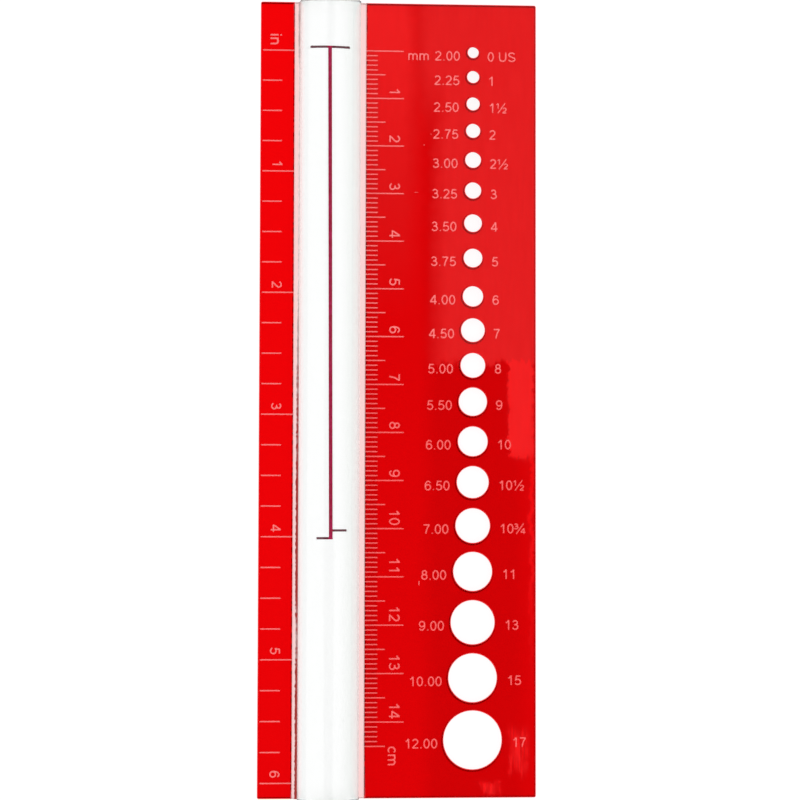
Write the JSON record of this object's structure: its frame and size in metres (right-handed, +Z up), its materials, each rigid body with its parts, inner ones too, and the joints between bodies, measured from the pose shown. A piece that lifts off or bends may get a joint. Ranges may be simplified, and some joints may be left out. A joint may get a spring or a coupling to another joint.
{
  "type": "knitting needle gauge",
  "caption": "Flat needle gauge of tinted plates either side of a half-round magnifier rod, with round needle holes, a centimetre scale and an inch scale.",
  "frame": {"origin": "under the middle of the gauge, on the surface it rests on", "axes": "+Z up out of the face that carries the rod and the scales, +Y along the gauge towards the zero end of its scales, +X towards the plate with the needle holes"},
  "size_m": [0.0578, 0.1658, 0.0085],
  "materials": {
    "red_acrylic": "see-through red cast acrylic, polished, with frosted engraving",
    "clear_acrylic": "clear cast acrylic, polished",
    "cured_cement": "clear cured acrylic cement with small bubbles",
    "crimson_paint": "dark crimson paint in an engraved line"
  },
  "bodies": {
    "root": {"inch_plate": "red_acrylic", "size_plate": "red_acrylic", "clear_strip": "clear_acrylic", "magnifier_rod": "clear_acrylic", "inch_edge_bond": "cured_cement", "size_edge_bond": "cured_cement", "rod_bond": "cured_cement", "gauge_line": "crimson_paint"}
  },
  "joints": []
}
